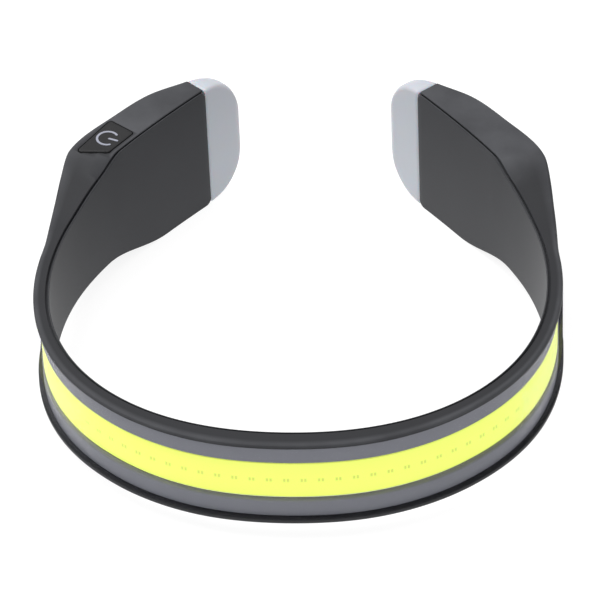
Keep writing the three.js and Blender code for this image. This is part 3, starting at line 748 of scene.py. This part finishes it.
def liner_rings(side):
    """Rings of the inner layer: the inner face, a quarter-circle edge, the shadow groove, the back
    with its recess, and the same again below. The end of the cover has rounded corners."""
    recess_end = FLEX_AT + RECESS_TAIL
    places = [
        [0, 0.3 * MM],
        spread(1.2 * MM, recess_end - 1 * MM, 1.4 * MM),
        [recess_end - STEP, recess_end + STEP],
        spread(recess_end + 1 * MM, SEAM_AT - COVER_CORNER, 1.2 * MM),
        round_in(SEAM_AT, COVER_CORNER, 9),
    ]
    s = np.unique(np.concatenate(places))[:, None]
    sine, cosine = quarter(5)
    t_edge = np.concatenate([LINER_ROUND * (1 - cosine), [LINER_LIP, LINER_LIP + 0.05 * MM, LINER]])
    fall = np.concatenate([LINER_ROUND * (1 - sine), [0, GROOVE, GROOVE]])
    t_edge = np.broadcast_to(t_edge, (len(s), len(t_edge)))
    y = back(s, t_edge)
    come_in = corner_drop(s, SEAM_AT, COVER_CORNER)
    top = top_at(y) - fall - come_in
    bottom = bottom_at(y) + fall + come_in
    floor_t = np.where(s < recess_end, LINER - RECESS, LINER)
    back_t = np.full(s.shape, LINER)
    t_back = np.concatenate([back_t, floor_t, floor_t, back_t], 1)
    z_back = np.broadcast_to([RECESS_TO, RECESS_TO, RECESS_FROM, RECESS_FROM], t_back.shape)
    t = np.concatenate([t_edge, t_back, t_edge[:, ::-1]], 1)
    z = np.concatenate([top, z_back, bottom[:, ::-1]], 1)
    count = t_edge.shape[1]
    # The quarter-circle edges are marked for the lighter edge colour: rubbing with painted
    # highlight.
    edge = np.zeros(t.shape[1])
    edge[1 : count - 2] = edge[-count + 2 : -1] = 1
    return at(s, t, z, side), edge


# The lighter edge colour on the rounded edges is rubbing with painted highlight.
soft_liner = material(
    "soft_liner",
    (0.030, 0.031, 0.0355),
    (0.025, 0.026, 0.030),
    edge=(0.040, 0.041, 0.045),
    roughness=0.6,
    grain=4200,
    height=0.02,
    Specular_IOR_Level=0.22,
    Sheen_Weight=0.1,
    Sheen_Roughness=0.45,
)
for side, name, body in SIDES:
    rings, edge = liner_rings(side)
    lining = carry(f"{name}_inner_layer", rings, edge)
    lining.data.materials.append(soft_liner)
    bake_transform(lining)
    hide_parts("front_liner", f"{name}_pod_cover")

# ---- Spring and flat leads -----------------------------------------------------------------------
# A strip of cold-rolled spring steel gives the band its grip, and an amber flexible circuit takes
# the current past it. Both lie loose in the recess behind the inner layer, curved along the band.


STRIP_INNER = LINER - RECESS + SLIP
STRIP_OUTER = STRIP_INNER + 0.4 * MM


def strip_rings(side, stop, low, high):
    """Rings of a thin flat strip from the forehead to a distance along the band."""
    s = spread(0, stop, 2 * MM)[:, None]
    t = np.array([[STRIP_INNER, STRIP_OUTER, STRIP_OUTER, STRIP_INNER]])
    z = np.array([[low, low, high, high]])
    return at(s, t, z, side)


STRIPS = (
    # name, CAD nodes, slot, heights, tail behind the flex line
    ("spring", "spring_strip", "spring_tail", "spring_steel", -6.5 * MM, 4.5 * MM, 22 * MM),
    ("leads", "flat_leads", "leads_tail", "flat_leads", 5.5 * MM, 10.5 * MM, 27 * MM),
)
strip_looks = {
    "spring": material(
        "spring_steel",
        (0.58, 0.59, 0.60),
        (0.46, 0.46, 0.47),
        roughness=0.32,
        mottle=40,
        grain=1500,
        height=0.004,
        stretch=(0.1, 0.1, 3),
        Metallic=1.0,
    ),
    "leads": material(
        "lead_film", (0.55, 0.27, 0.05), (0.42, 0.19, 0.03), roughness=0.35, grain=900, height=0.01
    ),
}
for side, name, body in SIDES:
    for kind, front, tail, slot, low, high, reach in STRIPS:
        rings = strip_rings(side, FLEX_AT + reach, low, high)
        strip = carry(f"{name}_{kind}", rings)
        strip.data.materials.append(strip_looks[kind])
        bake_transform(strip)
        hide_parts(front, f"{name}_{tail}")

# ---- Light strip ---------------------------------------------------------------------------------
# A white flexible circuit carries a row of LED chips under a moulded layer of yellow phosphor
# silicone. The circuit shows as a pale line above and below, and each chip as two faint marks.

BOARD_HALF = 7.6 * MM
BOARD_THICK = 0.3 * MM
PHOSPHOR_HALF = 7.0 * MM
PHOSPHOR_THICK = 0.6 * MM
PHOSPHOR_ROUND = 0.3 * MM
GLUE = 0.05 * MM
CHIP_PITCH = 5.2 * MM
CHIP_MARK = (0.42 * MM, 0.8 * MM)  # half width and half height of one mark
CHIP_APART = 0.54 * MM  # each mark from the chip's middle
LENS_WALL = 1.4 * MM


def board_rear(s):
    """Back of the circuit, and of the bezel round it."""
    return seat_at(s) + SLIP


def board_front(s):
    """Front of the circuit."""
    return board_rear(s) + BOARD_THICK


def phosphor_front(s):
    """Front of the phosphor."""
    return board_front(s) + GLUE + PHOSPHOR_THICK


def phosphor_rings():
    """Rings of the phosphor: a flat front with quarter-round long edges, and rounded ends."""
    end = STRIP_END - 0.3 * MM
    lead_in = PHOSPHOR_HALF * 0.35
    tail = round_in(end, lead_in, 7)
    straight = spread(-end + lead_in, end - lead_in, 1.5 * MM)
    s = np.unique(np.concatenate([-tail, straight, tail]))[:, None]
    half = PHOSPHOR_HALF - corner_drop(s, end, lead_in)
    sine, cosine = quarter(4)
    behind = board_front(s) + GLUE
    front = phosphor_front(s)
    t_edge = front - PHOSPHOR_ROUND + PHOSPHOR_ROUND * sine
    z_edge = half - PHOSPHOR_ROUND * (1 - cosine)
    t = np.concatenate([behind, t_edge, t_edge[:, ::-1], behind], 1)
    z = np.concatenate([half, z_edge, -z_edge[:, ::-1], -half], 1)
    return at(s, t, z)


# The circuit's glow is painted light that brightens its pale lines; the strip is not switched on.
circuit_white = material(
    "circuit_white",
    (0.88, 0.88, 0.80),
    (0.80, 0.80, 0.72),
    roughness=0.42,
    grain=2500,
    height=0.006,
    Emission_Color=(1, 1, 0.85, 1),
    Emission_Strength=0.35,
)
s = spread(-STRIP_END, STRIP_END, 2 * MM)[:, None]
t = np.concatenate([board_rear(s), board_front(s), board_front(s), board_rear(s)], 1)
z = np.array([[-BOARD_HALF, -BOARD_HALF, BOARD_HALF, BOARD_HALF]])
circuit = carry("led_circuit", at(s, t, z))
circuit.data.materials.append(circuit_white)
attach(circuit, "front_band")
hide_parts("led_board")

# The phosphor's glow is painted light that brightens the yellow under the lens; the strip is not
# switched on.
yellow = material(
    "phosphor_silicone",
    (0.87, 0.95, 0.16),
    (0.83, 0.92, 0.14),
    roughness=0.38,
    spread_by=0.06,
    mottle=25,
    grain=1600,
    height=0.006,
    Emission_Color=(0.75, 0.95, 0.08, 1),
    Emission_Strength=0.22,
)
phosphor = carry("phosphor_layer", phosphor_rings())
phosphor.data.materials.append(yellow)
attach(phosphor, "front_band")
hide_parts("phosphor_strip")


def chip_marks():
    """Two low pads for each chip, each a flat box on the front of the phosphor. Gives their points
    and faces."""
    count = int((STRIP_END - 2 * MM) / CHIP_PITCH)
    chips = np.arange(-count, count + 1) * CHIP_PITCH
    middles = (chips[:, None] + CHIP_APART * np.array([-1, 1])).ravel()
    along = np.array([-1, 1, 1, -1, -0.8, 0.8, 0.8, -0.8]) * CHIP_MARK[0]
    height = np.array([-1, -1, 1, 1, -0.8, -0.8, 0.8, 0.8]) * CHIP_MARK[1]
    lift = np.repeat([-0.1, 0.02], 4) * MM
    s = middles[:, None] + along
    points = at(s, phosphor_front(middles)[:, None] + lift, height)
    walls = [[k, (k + 1) % 4, (k + 1) % 4 + 4, k + 4] for k in range(4)]
    box = np.array([[0, 3, 2, 1], [4, 5, 6, 7], *walls])
    faces = (np.arange(len(middles))[:, None, None] * 8 + box).reshape(-1, 4)
    return points, faces.tolist()


# The marks' glow is painted light; the chips are not switched on.
chips = link("chip_marks", closed_mesh("chip_marks", *chip_marks()))
chips.data.materials.append(
    material(
        "chip_marks",
        (0.70, 0.73, 0.11),
        (0.64, 0.67, 0.10),
        roughness=0.4,
        grain=2500,
        height=0.004,
        Emission_Color=(0.75, 0.85, 0.08, 1),
        Emission_Strength=0.13,
    )
)
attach(chips, "front_band")

# ---- Bezel ---------------------------------------------------------------------------------------
# A satin grey frame round the light strip, moulded in one piece. It hides the channel's walls, and
# shows through the lens as a grey stripe above and below the yellow.

BEZEL_SHORT = 2 * MM
BEZEL_HALF = BAND_HALF - LIP - GAP
WINDOW_HALF = BOARD_HALF + GAP
WINDOW_ROUND = 0.35 * MM
WINDOW_END = 5 * MM  # the window's ends are half ovals of this length
LEDGE = 0.25 * MM


def lens_rear(s):
    """Back of the lens."""
    return crown_at(s) - LENS_WALL


def bezel_mesh():
    """A closed ring of sections round the window. Each section goes from the outer rear edge to
    the outer front, in to the rounded window edge, and to its rear."""
    n_long, n_end = 150, 14
    end_out = LENS_END - BEZEL_SHORT
    end_in = STRIP_END + GAP
    angle = np.linspace(-math.pi / 2, math.pi / 2, n_end)
    straight = np.linspace(-1, 1, n_long)

    def loop(end, half, length):
        """Once round an outline: along the top, round an end, along the bottom, round an end."""
        rest = straight * (end - length)
        bulge = end - length + length * np.cos(angle)[1:-1]
        level = np.full(n_long, half)
        fall = half * np.sin(angle)[1:-1]
        s = np.concatenate([rest, bulge, -rest, -bulge])
        return s, np.concatenate([level, -fall, -level, fall])

    outer_s, outer_z = loop(end_out, BEZEL_HALF, LENS_CORNER)
    inner_s, inner_z = loop(end_in, WINDOW_HALF, WINDOW_END)
    lip_s, lip_z = loop(end_in + WINDOW_ROUND, WINDOW_HALF + WINDOW_ROUND, WINDOW_END)
    step_s, step_z = loop(end_out - LEDGE, BEZEL_HALF - LEDGE, LENS_CORNER)
    s = np.stack([outer_s, outer_s, step_s, lip_s, inner_s, inner_s], 1)
    z = np.stack([outer_z, outer_z, step_z, lip_z, inner_z, inner_z], 1)
    t = [
        board_rear(outer_s),
        lens_rear(outer_s) - SLIP - LEDGE,
        lens_rear(step_s) - SLIP,
        lens_rear(lip_s) - SLIP,
        lens_rear(inner_s) - SLIP - WINDOW_ROUND,
        board_rear(inner_s),
    ]
    rings = at(s, np.stack(t, 1), z)
    count, size, _ = rings.shape
    return closed_mesh("strip_frame", rings, ring_quads(count, size, count))


satin_grey = material(
    "satin_grey",
    (0.155, 0.160, 0.178),
    (0.140, 0.145, 0.163),
    roughness=0.42,
    mottle=30,
    grain=3500,
    height=0.005,
)
bezel = soften(link("strip_frame", bezel_mesh()))
bezel.data.materials.append(satin_grey)
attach(bezel, "front_band")
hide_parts("strip_bezel")

# ---- Lens ----------------------------------------------------------------------------------------
# One long clear polycarbonate lens, bent to the band, with rounded long edges and corners. It snaps
# into the frame's channel and is glossy outside.

LENS_HALF = BEZEL_HALF
LENS_BEVEL = 1.6 * MM
SEE_THROUGH = 0.94  # share of the light that passes straight through


def lens_rings():
    """Rings of the lens: a flat back, short sides, quarter-ellipse long edges and a flat crown."""
    tail = round_in(LENS_END, LENS_CORNER, 8)
    straight = spread(-LENS_END + LENS_CORNER, LENS_END - LENS_CORNER, 1.5 * MM)
    s = np.unique(np.concatenate([-tail, straight, tail]))[:, None]
    half = LENS_HALF - corner_drop(s, LENS_END, LENS_CORNER)
    crown = crown_at(s)
    rear = lens_rear(s)
    side = depth_at(s) - SLIP
    sine, cosine = quarter(8)
    t_edge = side + (crown - side) * sine
    z_edge = half - LENS_BEVEL * (1 - cosine)
    t = np.concatenate([rear, t_edge, t_edge[:, ::-1], rear], 1)
    z = np.concatenate([half, z_edge, -z_edge[:, ::-1], -half], 1)
    return at(s, t, z)


clear = bpy.data.materials.new("clear_lens")
clear.use_nodes = True
shader = clear.node_tree.nodes["Principled BSDF"]
shader.inputs["Base Color"].default_value = (0.95, 0.955, 0.97, 1)
shader.inputs["Roughness"].default_value = 0.04
shader.inputs["IOR"].default_value = 1.1
shader.inputs["Transmission Weight"].default_value = 1.0
n = add_nodes(
    clear.node_tree,
    place="ShaderNodeTexCoord",
    ripple="ShaderNodeTexNoise",
    bump="ShaderNodeBump",
    path="ShaderNodeLightPath",
    share="ShaderNodeMath",
    thin="ShaderNodeBsdfTransparent",
    mix="ShaderNodeMixShader",
)
n["ripple"].inputs["Scale"].default_value = 90
n["bump"].inputs["Strength"].default_value = 0.25
n["bump"].inputs["Distance"].default_value = 0.02 * MM
n["thin"].inputs["Color"].default_value = (0.99, 0.99, 1.0, 1)
wire = clear.node_tree.links.new
wire(n["place"].outputs["Object"], n["ripple"].inputs["Vector"])
wire(n["ripple"].outputs["Fac"], n["bump"].inputs["Height"])
wire(n["bump"].outputs["Normal"], shader.inputs["Normal"])
n["share"].operation = "MAXIMUM"
n["share"].inputs[1].default_value = SEE_THROUGH
wire(n["path"].outputs["Is Shadow Ray"], n["share"].inputs[0])
wire(n["share"].outputs[0], n["mix"].inputs["Fac"])
wire(shader.outputs["BSDF"], n["mix"].inputs[1])
wire(n["thin"].outputs["BSDF"], n["mix"].inputs[2])
surface = clear.node_tree.nodes["Material Output"].inputs["Surface"]
wire(n["mix"].outputs["Shader"], surface)
lens = carry("long_lens", lens_rings())
lens.data.materials.append(clear)
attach(lens, "front_band")
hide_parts("light_lens")

# ---- Tips ----------------------------------------------------------------------------------------
# A soft frosted silicone tip closes each pod and comforts the head. It is moulded with a hollow
# plug that presses into the end of the pod.

PLUG_LENGTH = 7 * MM
PLUG_WALL = 0.9 * MM
PLUG_ROUND = 0.45 * MM
TIP_ROUND = 1.3 * MM
TIP_SEAM = 0.35 * MM  # a fine groove where the tip meets the pod
TIP_CURVE = 2.5  # the tip's outline is a superellipse of this power
TIP_NOSE = 3 * MM  # length over which the tip's end rounds off in plan


def box_ring(inner, outer, low, high, radius, steps=6, sides=10):
    """Rounded rectangles in (t, z), one per row: four quarter-circle corners joined by straight
    sides that are divided for shading."""
    sine, cosine = quarter(steps)
    sine, cosine = sine[None], cosine[None]
    tall = np.linspace(0, 1, sides + 1)[None, 1:-1]
    right, left = outer - radius, inner + radius
    top, bottom = high - radius, low + radius
    t = [
        right + radius * sine,
        outer + 0 * tall,
        right + radius * cosine,
        left - radius * sine,
        inner + 0 * tall,
        left - radius * cosine,
    ]
    z = [
        top + radius * cosine,
        top + (bottom - top) * tall,
        bottom - radius * sine,
        bottom - radius * cosine,
        bottom + (top - bottom) * tall,
        top + radius * sine,
    ]
    return np.concatenate(t, 1), np.concatenate(z, 1)


def plug_ring(s, wall, side):
    """One ring of the plug, a distance inside the pod's outer faces."""
    s = np.array([[s]])
    outer = depth_at(np.minimum(s, SEAM_AT)) - wall
    y = back(s, outer)
    inner = np.full(s.shape, LINER + wall - WALL)
    rounding = np.full(s.shape, PLUG_ROUND)
    t, z = box_ring(inner, outer, bottom_at(y) + wall, top_at(y) - wall, rounding)
    return at(s, t, z, side)


def tip_rings(side):
    """Rings of a tip, from the bottom of its hollow out over the plug and along the cap. The cap's
    outline is a superellipse, and the last few millimetres narrow in plan as a quarter circle."""
    k = np.linspace(0, 1, 40)
    u = (1 - (1 - k) ** 2.1)[:, None] * 0.9992
    u = np.maximum(u, GAP / TIP_LENGTH)
    s = SEAM_AT + u * TIP_LENGTH
    half = (POD_ABOVE + POD_BELOW) / 2 * (1 - u**TIP_CURVE) ** (1 / TIP_CURVE)
    middle = (POD_ABOVE - POD_BELOW) / 2
    nose = np.clip((u * TIP_LENGTH - (TIP_LENGTH - TIP_NOSE)) / TIP_NOSE, 0, 1)
    depth = depth_at(s)
    pinch = depth / 2 * (1 - np.sqrt(1 - nose * nose)) * 0.9
    seam = TIP_SEAM * (1 - smooth(u * TIP_LENGTH, GAP, GAP + 0.5 * MM))
    radius = np.minimum(TIP_ROUND + 1.1 * MM * u, (depth - 2 * pinch) / 2.05)
    radius = np.minimum(radius, half * 0.9)
    inner, outer = pinch + seam, depth - pinch - seam
    t, z = box_ring(inner, outer, middle - half + seam, middle + half - seam, radius)
    deep = WALL + GAP
    hollow = deep + PLUG_WALL
    return np.concatenate(
        [
            plug_ring(SEAM_AT - 1 * MM, hollow, side),
            plug_ring(SEAM_AT - PLUG_LENGTH, hollow, side),
            plug_ring(SEAM_AT - PLUG_LENGTH, deep, side),
            plug_ring(SEAM_AT + GAP, deep, side),
            at(s, t, z, side),
        ]
    )


frosted = material(
    "frosted_silicone",
    (0.45, 0.475, 0.52),
    (0.42, 0.445, 0.49),
    roughness=0.5,
    mottle=35,
    grain=2600,
    height=0.01,
    Subsurface_Weight=0.35,
    Subsurface_Scale=0.004,
    Sheen_Weight=0.35,
    Sheen_Roughness=0.4,
)
for side, name, body in SIDES:
    tip = carry(f"{name}_frosted_tip", tip_rings(side))
    tip.data.materials.append(frosted)
    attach(tip, body)
    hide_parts(f"{name}_tip")

# ---- Power button --------------------------------------------------------------------------------
# A matte rubber key with a flange that holds it under the shell and a stem that meets the switch.
# The power mark is a silver inlay that stands a hair proud of its face.

BUTTON_PROUD = 0.2 * MM
FLANGE = 0.6 * MM
FLANGE_TOP = POD_TOP - WALL - 6 * GAP
FLANGE_LOW = FLANGE_TOP - 0.8 * MM
STEM = 2.1 * MM
STEM_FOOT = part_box("power_button")[0].z
MARK_RADIUS = 3.4 * MM
MARK_STROKE = 0.75 * MM
MARK_GAP = math.radians(46)  # half of the ring's opening
MARK_HEADING = math.radians(-21)
MARK_BAR = (0.3 * MM, 3.9 * MM)
MARK_PROUD = 0.03 * MM
MARK_BACK = 51.9 * MM  # back from the flex line
MARK_OUT = 7.9 * MM


def button_rings():
    """Rings of the button from its foot up: the stem, the flange, the key's sides and a rounded
    edge. The stem's points lie in the same directions from the middle as the flange's."""
    key_at = button_corners()
    flange_at = button_corners(FLANGE)
    top = POD_TOP + BUTTON_PROUD
    levels = (
        # corners, how far they come in, height
        (flange_at, 0, FLANGE_LOW),
        (flange_at, 0, FLANGE_TOP),
        (key_at, 0, FLANGE_TOP),
        (key_at, 0, top - 0.3 * MM),
        (key_at, 0.1 * MM, top - 0.09 * MM),
        (key_at, 0.3 * MM, top),
        (key_at, 1.1 * MM, top - 0.05 * MM),
    )
    rings = [
        flat(rounded(inset(corners, d), BUTTON_CORNER - min(d, 0.6 * MM)), z)
        for corners, d, z in levels
    ]
    outline = rings[0][:, :2]
    middle = outline.mean(0)
    away = outline - middle
    circle = middle + STEM * away / np.linalg.norm(away, axis=1, keepdims=True)
    stem = [flat(circle, z) for z in (STEM_FOOT, FLANGE_LOW)]
    return np.stack(stem + rings)


def inlay(name, path, low, high):
    """A flat stroke along a plan path, its ends rounded off as half circles."""
    ahead = np.gradient(path, axis=0)
    step = np.linalg.norm(ahead, axis=1)
    ahead /= step[:, None]
    run = np.concatenate([[0], np.cumsum(np.linalg.norm(np.diff(path, axis=0), axis=1))])
    near = np.minimum(run, run[-1] - run) / (MARK_STROKE / 2)
    half = MARK_STROKE / 2 * np.sqrt(np.clip(1 - (1 - np.clip(near, 0.06, 1)) ** 2, 0, 1))
    aside = np.stack([-ahead[:, 1], ahead[:, 0]], -1) * half[:, None]
    a, b = path + aside, path - aside
    corners = [flat(a, low), flat(a, high), flat(b, high), flat(b, low)]
    return carry(name, np.stack(corners, 1))


rubber = material(
    "button_rubber",
    (0.014, 0.014, 0.015),
    (0.011, 0.011, 0.012),
    roughness=0.55,
    grain=5000,
    height=0.015,
    Specular_IOR_Level=0.25,
)
silver = material(
    "silver_inlay",
    (0.33, 0.34, 0.40),
    (0.28, 0.29, 0.35),
    roughness=0.4,
    grain=4000,
    height=0.004,
    Metallic=0.4,
)
key = carry("button_key", button_rings())
key.data.materials.append(rubber)
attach(key, "power_button")
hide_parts("power_button")
mark_middle = at(FLEX_AT + MARK_BACK, MARK_OUT, 0.0, -1)[:2]
ease = (1 - np.cos(np.linspace(0, math.pi, 61))) / 2
angle = MARK_HEADING + MARK_GAP + ease * (2 * math.pi - 2 * MARK_GAP)
ring_path = mark_middle + MARK_RADIUS * np.stack([np.cos(angle), np.sin(angle)], -1)
bar_run = MARK_BAR[0] + (MARK_BAR[1] - MARK_BAR[0]) * ease
bar_way = np.array([math.cos(MARK_HEADING), math.sin(MARK_HEADING)])
bar_path = mark_middle + bar_run[:, None] * bar_way
for name, path in (("power_mark_ring", ring_path), ("power_mark_bar", bar_path)):
    mark = inlay(name, path, POD_TOP - 0.4 * MM, POD_TOP + BUTTON_PROUD + MARK_PROUD)
    mark.data.materials.append(silver)
    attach(mark, "power_button")

# ---- Charging flap -------------------------------------------------------------------------------
# A small rubber flap lies in a seat under the control pod and plugs the charging socket. It swings
# down from its front edge.

FLAP_LOW = 0.1 * MM
FLAP_ROUND = 0.25 * MM
PLUG_HIGH = 1.4 * MM

flap_levels = (
    (0.25 * MM, FLAP_LOW),
    (0.07 * MM, FLAP_LOW + 0.08 * MM),
    (0, FLAP_LOW + FLAP_ROUND),
    (0, FLAP_LOW + FLAP_THICKNESS),
)
plug_levels = (0, PLUG_HIGH - 0.3 * MM, PLUG_HIGH)
rings = [
    flat(flap_outline(FLAP_SIZE[0] - 2 * d, FLAP_SIZE[1] - 2 * d, FLAP_CORNER - d), z)
    for d, z in flap_levels
]
plug_size = (SOCKET_MOUTH[0] - 2 * MM, SOCKET_MOUTH[1] - 1.4 * MM)
for rise, taper in zip(plug_levels, (0, 0, 0.3 * MM)):
    outline = flap_outline(plug_size[0] - taper, plug_size[1] - taper, 0.6 * MM)
    rings.append(flat(outline, FLAP_LOW + FLAP_THICKNESS + rise))
flap = carry("socket_flap", np.stack(rings))
flap.data.materials.append(rubber)
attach(flap, "charge_flap")
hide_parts("charge_flap")

# ---- Inside the pods -----------------------------------------------------------------------------
# The board, its screws, the switch, the socket, the cell and their leads keep their CAD shapes.
# Each gets the finish of the real thing.

solder_green = material(
    "solder_mask",
    (0.03, 0.16, 0.08),
    (0.02, 0.11, 0.05),
    roughness=0.35,
    mottle=200,
    grain=2200,
    height=0.01,
)
drawn_steel = material(
    "drawn_steel",
    (0.62, 0.62, 0.63),
    (0.52, 0.52, 0.53),
    roughness=0.3,
    grain=2600,
    height=0.004,
    stretch=(1, 1, 4),
    Metallic=1.0,
)
moulded_black = material(
    "moulded_black", (0.03, 0.03, 0.033), (0.024, 0.024, 0.027), roughness=0.35, grain=2400
)
lead_red = material(
    "lead_red", (0.42, 0.03, 0.02), (0.33, 0.02, 0.015), roughness=0.42, grain=1800
)
cell_foil = material(
    "cell_foil",
    (0.66, 0.67, 0.69),
    (0.55, 0.56, 0.58),
    roughness=0.34,
    mottle=120,
    grain=900,
    height=0.02,
    Metallic=0.9,
)
foam = material(
    "pad_foam",
    (0.03, 0.03, 0.032),
    (0.015, 0.015, 0.016),
    roughness=0.95,
    grain=1500,
    height=0.15,
)
for look, names in (
    (solder_green, ("main_board", "cell_board")),
    (drawn_steel, ("board_screw_1", "board_screw_2", "charge_socket")),
    (moulded_black, ("switch_body", "switch_plunger")),
    (lead_red, ("board_lead", "cell_lead")),
    (cell_foil, ("battery_cell",)),
    (foam, ("cell_pad",)),
):
    for name in names:
        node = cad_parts[name]
        node.data.materials.clear()
        node.data.materials.append(look)
